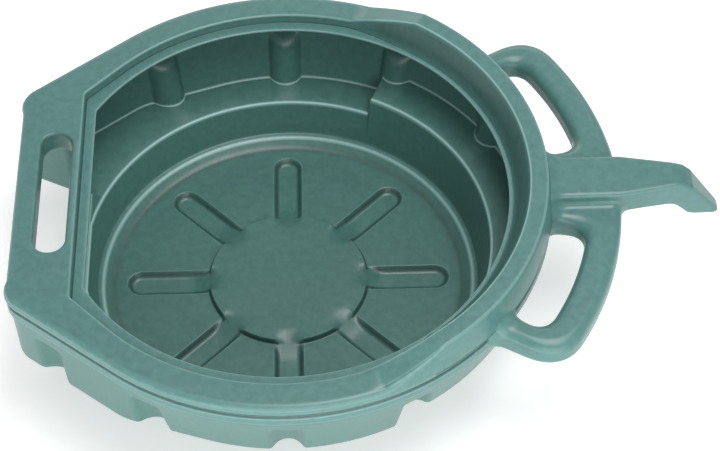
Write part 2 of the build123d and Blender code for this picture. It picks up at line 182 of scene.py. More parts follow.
def shell(name, p, thick, sigma=2.5, centre=False, sharp=50.0, paint=None):
    """Closed shell from a skin grid: the skin, its offset on the far side, and the strips that join them."""
    rows, cols = p.shape[:2]
    n = grid_normals(p)
    arc = np.concatenate([np.zeros((1, cols)), np.cumsum(np.linalg.norm(np.diff(p, axis=0), axis=-1), 0)])
    ns = smooth_rows(n, arc, sigma)
    back = p - ns * thick
    v = np.concatenate([p.reshape(-1, 3), back.reshape(-1, 3)])
    off = rows * cols
    i = np.arange(rows - 1)[:, None] * cols
    j = np.arange(cols)[None, :]
    jn = (j + 1) % cols
    a, b, c, d = i + j, i + jn, i + cols + jn, i + cols + j
    faces = np.stack([a, d, c, b], -1).reshape(-1, 4)
    rear = np.stack([a, b, c, d], -1).reshape(-1, 4) + off
    top = (rows - 1) * cols
    jj = np.arange(cols)
    jj1 = (jj + 1) % cols
    rim = np.stack([top + jj, top + jj + off, top + jj1 + off, top + jj1], -1)
    parts = [faces, rear, rim]
    if not centre:
        parts.append(np.stack([jj, jj1, jj1 + off, jj + off], -1))
    f = np.concatenate(parts).tolist()
    ob = make_object(name, to_world(v), f, None)
    # Per-vertex painted light: positive values paint highlights on edges, negative values paint shade in hollows.
    painted_light = ob.data.attributes.new("painted_light", "FLOAT", "POINT")
    painted_light.data.foreach_set("value", np.concatenate([paint.ravel(), np.zeros(rows * cols)]).astype(np.float32))
    bm = bmesh.new()
    bm.from_mesh(ob.data)
    bmesh.ops.remove_doubles(bm, verts=bm.verts, dist=2e-6)
    bmesh.ops.dissolve_degenerate(bm, edges=bm.edges, dist=1e-6)
    bm.to_mesh(ob.data)
    bm.free()
    ob.data.polygons.foreach_set("use_smooth", np.ones(len(ob.data.polygons), bool))
    if sharp:
        ob.data.set_sharp_from_angle(angle=radians(sharp))
    return ob


# ------------------------------------------------------------------ bowl
RIBS = [(az, az) for az in (30.5, 61.2, 90.0, 121.0)]
NC = 720
LEDGE_AZ = 64.3


def rib_list():
    out = []
    for az, _ in RIBS:
        for s in (1, -1):
            a = radians(az * s)
            out.append((cos(a), sin(a), a, None))
    c, s_ = cos(FLANK), sin(FLANK)
    for s in (1, -1):
        x = -203.0
        y = ((RIM_R - 7.5) - x * c) / s_
        out.append((x, s * y, s * FLANK, True))
    return out


def rib_push(th, r, z, ztop=94.0, span=13.0, rr=16.2, sink=5.6):
    """How far the half-round ribs push the wall inwards."""
    x, y = r * np.cos(th), r * np.sin(th)
    total = np.zeros_like(r)
    for cx, cy, az, flank in rib_list():
        tx, ty = -sin(az), cos(az)
        if flank:
            u = (x - cx) * tx + (y - cy) * ty
            near = (np.sign(y) == np.sign(cy)) & (x < 0)
        else:
            u = x * tx + y * ty
            near = (x * cos(az) + y * sin(az)) > 100.0
        g = np.where(np.abs(u) < rr, np.sqrt(np.maximum(rr * rr - u * u, 0.0)) - sink, -sink - 2 * (np.abs(u) - rr))
        top = np.sqrt(np.maximum(1.0 - np.clip((z - ztop) / span, 0, 1) ** 2, 0.0))
        g = (g + sink) * top - sink
        d = 0.5 * (g + np.sqrt(g * g + 1.3)) - 0.02
        d = np.where(near, np.maximum(d, 0.0), 0.0) / np.maximum(np.cos(th - az), 0.3)
        total = np.maximum(total, np.where(d > 0.12, d, 0.0))
    return total


wall_cols = columns(NC, [(az + s * 4.1, 1.1, 2.2) for az in (30.5, 61.2, 90, 121) for s in (1, -1)]
                    + [(LEDGE_AZ, 1.0, 5.0), (158.0, 0.7, 7.0), (143.5, 1.4, 1.2), (149.0, 1.4, 1.2), (154.0, 2.5, 1.5), (115.0, 8.0, 0.3)])


def floor_cols(r):
    """Azimuths whose lines follow the sides of the eight grooves at radius r."""
    per = NC // 8
    v = (np.arange(per) + 0.5) / per * 2 - 1
    a = np.abs(v)
    rr = max(r, 46.0)
    inner, outer = 6.6, 14.2
    e0, e1 = asin(inner / rr), asin(outer / rr)
    phi = np.where(a < 0.16, np.arcsin(np.clip(a / 0.16 * inner / rr, 0, 1)),
                   np.where(a < 0.56, np.arcsin(np.clip((inner + (a - 0.16) / 0.40 * (outer - inner)) / rr, 0, 1)),
                            e1 + (a - 0.56) / 0.44 * (pi / 8 - e1)))
    phi = phi * np.sign(v)
    th = np.concatenate([phi + k * pi / 4 for k in range(-4, 4)]) + 0.0
    # start at the middle between two grooves so that both mappings run from -pi to pi
    return th


# index shift so that the first column is next to -pi
_f = floor_cols(140.0)
SHIFT = int(np.argmin(np.abs(_f + pi)))


def floor_az(r):
    th = floor_cols(r)
    th = np.where(th < -pi, th + 2 * pi, th)
    return np.sort(th)


def base_height(r):
    hub = 13.0 - 5.0 * np.clip((r - 73.2) / 2.0, 0, 1)
    rise = np.interp(r, [157, 160, 162.5, 164.5, 166.5, 168.3, 169.8, 171.0, 172.2, 173.6, 175.2, 176.4],
                     [0, 0.15, 0.55, 1.3, 2.5, 3.9, 5.1, 5.9, 6.5, 6.95, 7.25, 7.4])
    return hub + rise


def floor_height(r, th):
    k = np.round(th / (pi / 4))
    phi = th - k * pi / 4
    u, a = r * np.sin(phi), r * np.cos(phi)
    base = base_height(r)
    ramp = 3.0 + (13.0 - 3.0) * (1 - sstep(57.0, 92.0, a))
    dist = np.where(a > 137.0, np.hypot(u, a - 137.0), np.abs(u))
    t = np.clip((dist - 7.0) / 6.4, 0.0, 1.0)
    blend = sstep(69.0, 75.0, r)
    inside = (1 - t ** 1.8) * blend + (1 - sstep(1.0, 17.0, dist)) * (1 - blend)
    return base + (ramp - base) * inside


def floor_paint(r, th):
    """Painted light on the floor: painted shade along the groove walls, in the ring's fillet and at the foot of the
    hub; painted highlights on the panel edges and on the ring's crest.
    """
    k = np.round(th / (pi / 4))
    phi = th - k * pi / 4
    u, a = r * np.sin(phi), r * np.cos(phi)
    dist = np.where(a > 137.0, np.hypot(u, a - 137.0), np.abs(u))
    t = (dist - 7.0) / 6.4
    wall = np.clip(1.1 - np.abs(t - 0.62) / 0.42, 0, 1) * (r > 74.0)
    lip = np.clip(1.0 - np.abs(t - 1.10) / 0.10, 0, 1) * (r > 75.0) * 0.22
    foot = np.clip(1.0 - np.abs(r - 74.5) / 1.3, 0, 1) * np.clip((t - 0.5) * 2, 0, 1)
    ring = np.clip(1.0 - np.abs(r - 162.5) / 5.0, 0, 1) * 0.55
    crest = np.clip(1.0 - np.abs(r - 172.3) / 2.6, 0, 1) * 0.75
    return lip + crest - np.maximum(np.maximum(wall * 0.85, foot), ring)


ROWS_R = np.array([0.0, 25, 46, 56, 60, 63, 66, 69, 71.4, 72.8, 73.1, 73.25, 73.6, 74.2, 74.8, 75.15, 75.4, 76.4, 78.5, 82, 85, 88, 92, 97,
                   106, 118, 126, 130, 133, 135.5, 137.5, 139.2, 140.8, 142.2, 143.4, 144.5, 145.5, 146.4, 147.2, 148,
                   148.8, 149.5, 150.1, 150.8, 152, 155, 158.5, 160.5, 162.5, 164.2, 165.8, 167.2, 168.5, 169.6, 170.6,
                   171.5, 172.4, 173.5, 174.8, 176.0])


def bowl_rows():
    grid, shade = [], []
    for r in ROWS_R:
        t = float(sstep(151.0, 172.0, r))
        th = (1 - t) * floor_az(min(r, 151.0)) + t * wall_cols
        rr = np.full(NC, r)
        z = floor_height(rr, th)
        shade.append(floor_paint(rr, th))
        grid.append(np.stack([rr * np.cos(th), rr * np.sin(th), z], -1))
    th = wall_cols
    absth = np.abs(th)
    raised = 1 - sstep(radians(LEDGE_AZ - 0.5), radians(LEDGE_AZ + 0.5), absth)
    pocket = sstep(radians(157.72), radians(157.92), absth)
    lift = 21.0 * raised

    def row(r, z, painted_tone=0.0):
        grid.append(np.stack([r * np.cos(th), r * np.sin(th), z + 0 * r], -1))
        shade.append(painted_tone * np.ones(NC))

    one = np.ones(NC)
    z_edge = 51.0 + lift
    r_edge = 185.5 + 1.0 * raised
    back = 184.5 / np.maximum(-np.cos(th), 0.2)
    r_edge = r_edge * (1 - pocket) + np.minimum(r_edge, back - 2.9) * pocket
    z_foot = z_edge + 5.0 * (1 - pocket)

    foot, head = foot_line(th) - 3.1, d_line(th, 6.1)

    def wall_r(z):
        r = foot + (head - foot) * (z - 53.0) / 65.0
        r = r - rib_push(th, r, z)
        return r * (1 - pocket) + back * pocket

    # foot of the lower wall, just outside the small shelf
    for r, z in ((176.9, 15.6), (177.4, 16.3), (177.9, 18.0), (178.4, 22.5)):
        row(r * one, z * one)
    for t in (0.25, 0.5, 0.75, 0.93):
        row(178.4 + (r_edge - 0.25 - 178.4) * t, 22.5 + (z_edge - 1.6 - 22.5) * t)
    # Painted highlight along the edge of the ledge.
    row(r_edge - 0.1, z_edge - 0.9, 0.6)
    sgn = 1.0
    row(r_edge + 0.35 * sgn, z_edge - 0.25, 1.0)
    row(r_edge + 1.2 * sgn, z_edge + 0.12 * (1 - pocket), 0.8)
    row(r_edge + 2.6 * sgn, z_edge + 0.3 * (1 - pocket), 0.1)
    rf = wall_r(z_foot)
    r0, z0 = r_edge + 2.6 * sgn, z_edge + 0.3 * (1 - pocket)
    for t in (0.2, 0.4, 0.6, 0.78, 0.9):
        row(r0 + (rf - 2.2 * sgn - r0) * t, z0 + (z_foot - 0.2 - z0) * t)
    # Painted highlight along the fillet at the foot of the upper wall, with a little painted shade just before it.
    row(rf - 2.2 * sgn, z_foot - 0.15, -0.1)
    row(rf - 1.1 * sgn, z_foot + 0.05, 0.45)
    row(rf - 0.4 * sgn, z_foot + 0.5, 0.8)
    row(wall_r(z_foot + 1.3) - 0.05, z_foot + 1.3, 0.15)
    row(wall_r(z_foot + 2.6), z_foot + 2.6)
    zs = z_foot + 5.0
    for t in (0.0, 0.16, 0.32, 0.46, 0.56):
        z = zs + (92.0 - zs) * t / 0.56
        row(wall_r(z), z)
    for zc in (94.5, 96.5, 98.5, 100.3, 102.0, 103.5, 104.8, 105.8, 106.6, 107.4, 108.6, 111.0, 114.5):
        row(wall_r(zc * one), zc * one)
    z_end = Z_SKIRT * (1 - pocket) + 118.0 * pocket
    row(wall_r(z_end), z_end)
    row(wall_r(z_end), z_end + 0.6 + 15.4 * pocket)
    return np.stack(grid), np.stack(shade)


bowl_grid, bowl_shade = bowl_rows()
bowl = shell("bowl", bowl_grid, 3.0, sigma=2.0, centre=True, sharp=None, paint=bowl_shade)
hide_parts("bowl_floor", "bowl_lower_wall", "bowl_ledge", "bowl_upper_wall")
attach(bowl, "root")

# ------------------------------------------------------------------ rim, deck and guard
rim_cols = columns(900, [(149.4, 2.2, 3.0), (138.0, 2.0, 1.0), (145.0, 4.0, 1.5), (154.5, 2.5, 1.0), (158.0, 1.2, 3.0),
                         (72.0, 2.0, 1.0), (56.0, 2.0, 1.0), (62.0, 6.0, 0.5)])


def rim_rows():
    th = rim_cols
    a = np.degrees(np.abs(th))
    o, b = open_line(th), band_line(th)
    # guard share: a straight ramp between its two kinks
    w_in = np.clip((72.5 - a) / 17.5, 0, 1)
    w_out = np.clip((69.5 - a) / 14.5, 0, 1)
    grip = sstep(156.6, 158.2, a)          # left edge over the hand pocket
    one = np.ones_like(th)

    def D(i):
        i = i + 1.6 * grip
        return np.array([float(outline(np.array([t]), RIM_R - k, RIM_L - k, FLANK, max(4.0, CORNER - k * 0.5))[0])
                         for t, k in zip(th, i * one)])

    base, guard = [], []

    def put(rb, zb, rg=None, zg=None):
        base.append((rb, zb * one))
        guard.append((rb if rg is None else rg * one, (zb if zg is None else zg) * one))

    put(o + 5.0, 134.3)
    put(o + 2.0, 134.2)
    put(o + 0.6, 134.5)
    put(o + 0.05, 135.2)
    put(o + 0.1, 136.1)
    put(o + 0.5, 136.75)
    put(o + 1.3, 137.0)
    put(o + 4.0, 137.0, 201.8, 137.02)
    put(b - 2.4, 137.0, 202.3, 137.02)
    put(b - 1.3, 136.85, 202.8, 136.9)
    put(b - 0.8, 136.4, 203.2, 136.5)
    put(b - 0.3, 136.1, 203.6, 136.3)
    put(b + 0.1, 136.5, 204.0, 136.8)
    n = 9
    for k in range(n):
        t = (k + 1) / n
        x = t
        rg = 204.2 + (217.0 - 204.2) * x - 1.0 * sin(pi * x)
        zg = 137.6 + (162.6 - 137.6) * x ** 0.98
        put(b + 0.2 + 0.7 * t, 137.2 + 6.3 * t, rg, zg)
    put(b + 1.15, 144.1, 217.5, 163.3)
    put(b + 1.7, 144.65, 218.1, 163.75)
    put(b + 2.5, 144.93, 218.9, 163.95)
    d9 = D(7.4)
    for t in (0.0, 0.2, 0.4, 0.6, 0.8, 1.0):
        put(b + 3.6 + (d9 - b - 3.6) * t, 145.0, 220.0 + 10.8 * t, 164.0)
    # rolled edge, centre 8 mm in, against the guard's outer face
    m = 14
    for k in range(m):
        ang = radians(86.0 - (86.0 - 4.0) * k / (m - 1))
        rb, zb = D(6.2 - 6.2 * cos(ang)), 138.8 + 6.2 * sin(ang)
        if k < 5:
            q = radians(78.0 - 62.0 * k / 4)
            rg, zg = 231.4 + 2.4 * cos(q), 161.6 + 2.4 * sin(q)
        else:
            t = (k - 4) / (m - 5)
            rg = 233.8 + (239.0 - 233.8) * t ** 0.9
            zg = 161.6 + (137.6 - 161.6) * t
        put(rb, zb, rg, zg)
    for ang in (-6, -16, -26):
        q = radians(ang)
        put(D(6.2 - 6.2 * cos(q)), 138.8 + 6.2 * sin(q))
    # cove, plain band, step and lower lip
    for i, z in ((1.3, 135.2), (2.2, 134.2), (2.9, 133.0), (3.2, 131.7), (3.2, 130.6), (2.8, 129.8), (2.1, 129.3),
                 (1.5, 128.9), (1.1, 128.2), (1.0, 127.0),
                 (1.0, 125.0), (1.0, 123.0), (1.05, 121.6), (1.2, 120.9), (1.7, 120.35), (2.4, 120.1), (3.0, 119.8),
                 (3.15, 119.2), (3.2, 118.0)):
        put(D(i), z)
    # over the hand pocket the lower rows curl under the edge
    p = []
    last = len(base)
    first_low = last - 19
    for k in range(last):
        rb, zb = base[k]
        rg, zg = guard[k]
        f = float(np.clip((k - 24) / 8.0, 0, 1))
        w = w_in * (1 - f) + w_out * f
        r = rb * (1 - w) + rg * w
        z = zb * (1 - w) + zg * w
        if k >= first_low:
            s = (k - first_low + 1) / 19.0
            r = r * (1 - grip) + (D(1.6 + 4.0 * s)) * grip
            z = z * (1 - grip) + (135.0 - 4.6 * sstep(0.0, 0.5, s) + 0.3 * s) * grip
        p.append(np.stack([r * np.cos(th), r * np.sin(th), z], -1))
    return np.stack(p)


rim_grid = rim_rows()
# Painted light on the rim: highlights on convex edges, shade in hollows.
rim_shade = edge_strength(rim_grid)
rim_shade = np.where(rim_shade > 0, rim_shade * 0.34, rim_shade * 0.8)
_a = np.degrees(np.abs(rim_cols))[None, :]
_w = np.clip((72.0 - _a) / 8.0, 0, 1)
_k = np.arange(rim_grid.shape[0])[:, None]
# Painted shade on the guard's inner slope.
rim_shade = np.where((_k >= 13) & (_k <= 20), rim_shade - 0.55 * _w * np.clip((_k - 12) / 3.0, 0, 1), rim_shade)
# Painted highlight along the guard's inner top edge.
rim_shade = np.where((_k >= 22) & (_k <= 23), np.maximum(rim_shade, 0.62 * _w), rim_shade)
rim = shell("rim", rim_grid, 2.5, sigma=1.6, sharp=None, paint=rim_shade)


def stadium(cx, cy, half_w, half_l, n=28):
    """Points round a slot that runs along y, anticlockwise."""
    pts = []
    for k in range(n + 1):
        q = pi * k / n
        pts.append((cx + half_w * cos(q), cy + half_l - half_w + half_w * sin(q)))
    for k in range(n + 1):
        q = pi + pi * k / n
        pts.append((cx + half_w * cos(q), cy - half_l + half_w + half_w * sin(q)))
    return pts


SLOT = (-204.5, 0.0, 14.0, 68.0)


def cut_slot(ob):
    """Opens the hand slot in the flat of the deck, through both skins."""
    cx, cy, hw, hl = SLOT
    hw, hl = hw + 3.0, hl + 3.0
    bm = bmesh.new()
    bm.from_mesh(ob.data)
    gone = []
    for f in bm.faces:
        c = f.calc_center_median()
        x, y, z = c.x * 1000 - BOWL_X, c.y * 1000, c.z * 1000
        if z < 141.5 or abs(f.normal.z) < 0.99:
            continue
        yy = max(abs(y - cy) - (hl - hw), 0.0)
        if hypot(x - cx, yy) < hw + 4.5:
            gone.append(f)
    bmesh.ops.delete(bm, geom=gone, context="FACES_ONLY")
    bmesh.ops.delete(bm, geom=[e for e in bm.edges if not e.link_faces], context="EDGES")
    bmesh.ops.delete(bm, geom=[v for v in bm.verts if not v.link_edges], context="VERTS")
    loops = []
    zs = []
    for upper in (True, False):
        edges = [e for e in bm.edges if e.is_boundary and ((e.verts[0].co.z * 1000 > 144.0) == upper)
                 and e.verts[0].co.z * 1000 > 141.0 and -235 < e.verts[0].co.x * 1000 - BOWL_X < -180]
        z = float(np.median([v.co.z for e in edges for v in e.verts]))
        for e in edges:
            for v in e.verts:
                v.co.z = z
        zs.append(z)
        ring = [bm.verts.new(((x + BOWL_X) * 0.001, y * 0.001, z)) for x, y in stadium(cx, cy, hw, hl)]
        redges = [bm.edges.new((ring[i], ring[(i + 1) % len(ring)])) for i in range(len(ring))]
        res = bmesh.ops.triangle_fill(bm, edges=edges + redges, use_beauty=True, normal=(0, 0, 1 if upper else -1))
        # drop anything that filled the slot itself
        extra = []
        for f in [g for g in res["geom"] if isinstance(g, bmesh.types.BMFace)]:
            c = f.calc_center_median()
            x, y = c.x * 1000 - BOWL_X, c.y * 1000
            yy = max(abs(y - cy) - (hl - hw), 0.0)
            if hypot(x - cx, yy) < hw - 0.5:
                extra.append(f)
        bmesh.ops.delete(bm, geom=extra, context="FACES_ONLY")
        loops.append(ring)
    a, b = loops
    for i in range(len(a)):
        j = (i + 1) % len(a)
        bm.faces.new((a[i], a[j], b[j], b[i]))
    bmesh.ops.recalc_face_normals(bm, faces=bm.faces)
    bm.to_mesh(ob.data)
    bm.free()
    ob.data.polygons.foreach_set("use_smooth", np.ones(len(ob.data.polygons), bool))
    ob.data.set_sharp_from_angle(angle=radians(55))


cut_slot(rim)
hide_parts("rim_ring", "carry_deck", "pour_guard")
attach(rim, "root")


def sweep_loop(name, path_fn, profile, sharp=None):
    """Closed tube: profile points are (offset outwards, z); path_fn(offset) gives the closed plan loop."""
    rows = []
    for off, z in profile:
        pts = np.array(path_fn(off))
        rows.append(np.column_stack([pts, np.full(len(pts), z)]))
    g = np.stack(rows)
    m, n = g.shape[:2]
    faces = []
    for i in range(m):
        i2 = (i + 1) % m
        for j in range(n):
            j2 = (j + 1) % n
            faces.append((i * n + j, i * n + j2, i2 * n + j2, i2 * n + j))
    ob = make_object(name, to_world(g.reshape(-1, 3)), faces, None)
    bm = bmesh.new()
    bm.from_mesh(ob.data)
    bmesh.ops.remove_doubles(bm, verts=bm.verts, dist=1e-6)
    bmesh.ops.recalc_face_normals(bm, faces=bm.faces)
    bm.to_mesh(ob.data)
    bm.free()
    ob.data.polygons.foreach_set("use_smooth", np.ones(len(ob.data.polygons), bool))
    if sharp:
        ob.data.set_sharp_from_angle(angle=radians(sharp))
    return ob


# collar of the hand slot: rounded lip, plain wall, rounded lower edge
collar_profile = [(3.02, 144.98), (2.2, 144.98), (1.5, 144.75), (0.85, 144.3), (0.35, 143.6), (0.08, 142.7), (0.0, 141.5),
                  (0.0, 138.0), (0.0, 133.0), (0.0, 128.0), (0.05, 125.6), (0.4, 124.7), (1.1, 124.15), (2.0, 124.1),
                  (2.7, 124.5), (3.0, 125.3), (3.02, 128.0), (3.02, 134.0), (3.02, 140.0)]
collar = sweep_loop("slot_collar", lambda o: stadium(SLOT[0], SLOT[1], SLOT[2] + o, SLOT[3] + o), collar_profile, 60)
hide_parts("grip_slot_sleeve")
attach(collar, "root")


# ------------------------------------------------------------------ handles and spout
def smax(a, b, k):
    if k <= 0:
        return np.maximum(a, b)
    h = np.clip(0.5 + 0.5 * (a - b) / k, 0, 1)
    return b * (1 - h) + a * h + k * h * (1 - h)


def smin(a, b, k):
    return -smax(-a, -b, k)


def poly_sdf(px, pz, pts):
    """Signed distance to a polygon, negative inside."""
    d = np.full(px.shape, 1e18)
    s = np.ones(px.shape)
    n = len(pts)
    for i in range(n):
        ax, az = pts[i]
        bx, bz = pts[i - 1]
        ex, ez = bx - ax, bz - az
        wx, wz = px - ax, pz - az
        t = np.clip((wx * ex + wz * ez) / (ex * ex + ez * ez), 0, 1)
        dx, dz = wx - ex * t, wz - ez * t
        d = np.minimum(d, dx * dx + dz * dz)
        c1, c2, c3 = pz >= az, pz < bz, ex * wz > ez * wx
        flip = (c1 & c2 & c3) | (~c1 & ~c2 & ~c3)
        s = np.where(flip, -s, s)
    return s * np.sqrt(d)


GRIP_IN, GRIP_OUT, GRIP_Z, GRIP_H = 270.0, 300.0, 124.0, 13.0
SPOUT_SIDE = [(200.0, 149.0), (346.0, 149.0), (356.0, 147.2), (363.0, 142.0), (388.6, 107.5), (390.6, 103.5), (389.5, 101.0),
              (386.0, 99.9), (367.0, 102.6), (361.5, 105.0), (351.5, 116.5), (347.5, 119.6), (343.0, 121.2), (320.0, 122.2),
              (200.0, 122.2)]


def body_r(z):
    """Outer radius of the rim, guard and bowl wall behind the handles."""
    return np.interp(z, [60.0, 118.0, 119.5, 129.0, 131.0, 137.0, 141.0, 164.0], [219.9, 236.0, 238.0, 238.0, 237.0, 239.0, 238.6, 233.4])


def sdf(p):
    x, y, z = p[..., 0], p[..., 1], p[..., 2]
    ay = np.abs(y)
    r = np.hypot(x, ay)
    # plan of a D-handle
    k_az = radians(39.3)
    kx, ky = GRIP_OUT * cos(k_az), GRIP_OUT * sin(k_az)
    nx, ny = -0.50, 0.866
    arm = (x - kx) * nx + (ay - ky) * ny
    outer = smax(r - GRIP_OUT, arm, 34.0)
    a0, a1 = radians(9.6), radians(35.6)
    s0 = -(-x * sin(a0) + ay * cos(a0))
    s1 = -x * sin(a1) + ay * cos(a1)
    hole = smax(smax(r - GRIP_IN, s0, 20.0), s1, 20.0)
    plan = np.maximum(outer, -hole)
    # section: flat-topped bar with big rounded edges
    rd = 9.5
    qx, qz = plan + rd, np.abs(z - GRIP_Z) - GRIP_H + rd
    bar = np.hypot(np.maximum(qx, 0), np.maximum(qz, 0)) - rd + np.minimum(np.maximum(qx, qz), 0)
    # spout
    half = np.interp(x, [200.0, 299.0, 346.0, 392.0], [24.0, 23.4, 15.0, 9.3])
    side = poly_sdf(x, z, SPOUT_SIDE)
    lean = (149.0 - z) * 0.05
    flank = (ay - half + lean) * 0.985
    sp = smax(side, flank, 4.5)
    d = smin(bar, sp, 7.0)
    # fillet into the wall behind, then cut at the wall
    wall = (r - body_r(z) + 2.4) * 0.97
    zc = np.abs(z - 127.0) - 24.0
    wall = smax(wall, zc, 6.0)
    d = smin(d, wall, 15.0)
    sunk = r - body_r(z) + 2.0
    return np.maximum(d, -sunk)


def surface_net(fn, lo, hi, h):
    """Closed quad mesh of fn = 0 inside a box, then pulled onto the surface."""
    ax = [np.arange(lo[i], hi[i] + h, h) for i in range(3)]
    gx, gy, gz = np.meshgrid(*ax, indexing="ij")
    f = fn(np.stack([gx, gy, gz], -1))
    s = f < 0
    nx, ny, nz = f.shape
    acc = np.zeros((nx - 1, ny - 1, nz - 1, 3))
    cnt = np.zeros((nx - 1, ny - 1, nz - 1))
    corner = [(i, j, k) for i in (0, 1) for j in (0, 1) for k in (0, 1)]

    def view(a, c):
        return a[c[0]:nx - 1 + c[0], c[1]:ny - 1 + c[1], c[2]:nz - 1 + c[2]]

    for c1 in corner:
        for axis in range(3):
            if c1[axis]:
                continue
            c2 = list(c1)
            c2[axis] = 1
            fa, fb = view(f, c1), view(f, c2)
            cross = view(s, c1) != view(s, c2)
            t = np.where(cross, fa / np.where(cross, fa - fb, 1.0), 0.0)
            for q in range(3):
                val = float(c1[q]) + (t if q == axis else 0.0)
                acc[..., q] += np.where(cross, val, 0.0)
            cnt += cross
    has = cnt > 0
    idx = -np.ones(has.shape, int)
    idx[has] = np.arange(has.sum())
    cell = np.argwhere(has)
    v = (cell + acc[has] / cnt[has][:, None]) * h + np.array([a[0] for a in ax])
    quads = []
    for axis in range(3):
        b, c = [q for q in range(3) if q != axis]
        sl1 = [slice(None)] * 3
        sl2 = [slice(None)] * 3
        sl1[axis], sl2[axis] = slice(0, -1), slice(1, None)
        sa, sb = s[tuple(sl1)], s[tuple(sl2)]
        e = np.argwhere(sa != sb)
        e = e[(e[:, b] > 0) & (e[:, c] > 0) & (e[:, b] < f.shape[b] - 1) & (e[:, c] < f.shape[c] - 1)]
        inside_first = sa[tuple(e.T)]

        def at(db, dc):
            q = e.copy()
            q[:, b] -= db
            q[:, c] -= dc
            return idx[tuple(q.T)]

        quad = np.stack([at(1, 1), at(0, 1), at(0, 0), at(1, 0)], -1)
        flip = inside_first if axis != 1 else ~inside_first
        quad[~flip] = quad[~flip][:, ::-1]
        quads.append(quad)
    quads = np.concatenate(quads)
    for _ in range(4):
        e = 0.05
        g = np.stack([(fn(v + d) - fn(v - d)) / (2 * e) for d in np.eye(3) * e], -1)
        val = fn(v)
        step = val[:, None] * g / np.maximum((g * g).sum(-1, keepdims=True), 0.05)
        ln = np.linalg.norm(step, axis=-1, keepdims=True)
        v = v - step * np.minimum(1.0, 0.5 * h / np.maximum(ln, 1e-9))
    return v, quads


H = 1.25
grip_v, grip_q = surface_net(sdf, (150.0, -196.0, 94.0), (396.0, 196.0, 156.0), H)
grips = make_object("handles_and_spout", to_world(grip_v), grip_q.tolist(), None)
bm = bmesh.new()
bm.from_mesh(grips.data)
bmesh.ops.recalc_face_normals(bm, faces=bm.faces)
bm.to_mesh(grips.data)
bm.free()
grips.data.polygons.foreach_set("use_smooth", np.ones(len(grips.data.polygons), bool))
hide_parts("front_handle_upper", "front_handle_lower", "rear_handle_upper", "rear_handle_lower",
            "spout_upper", "spout_lower")
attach(grips, "root")


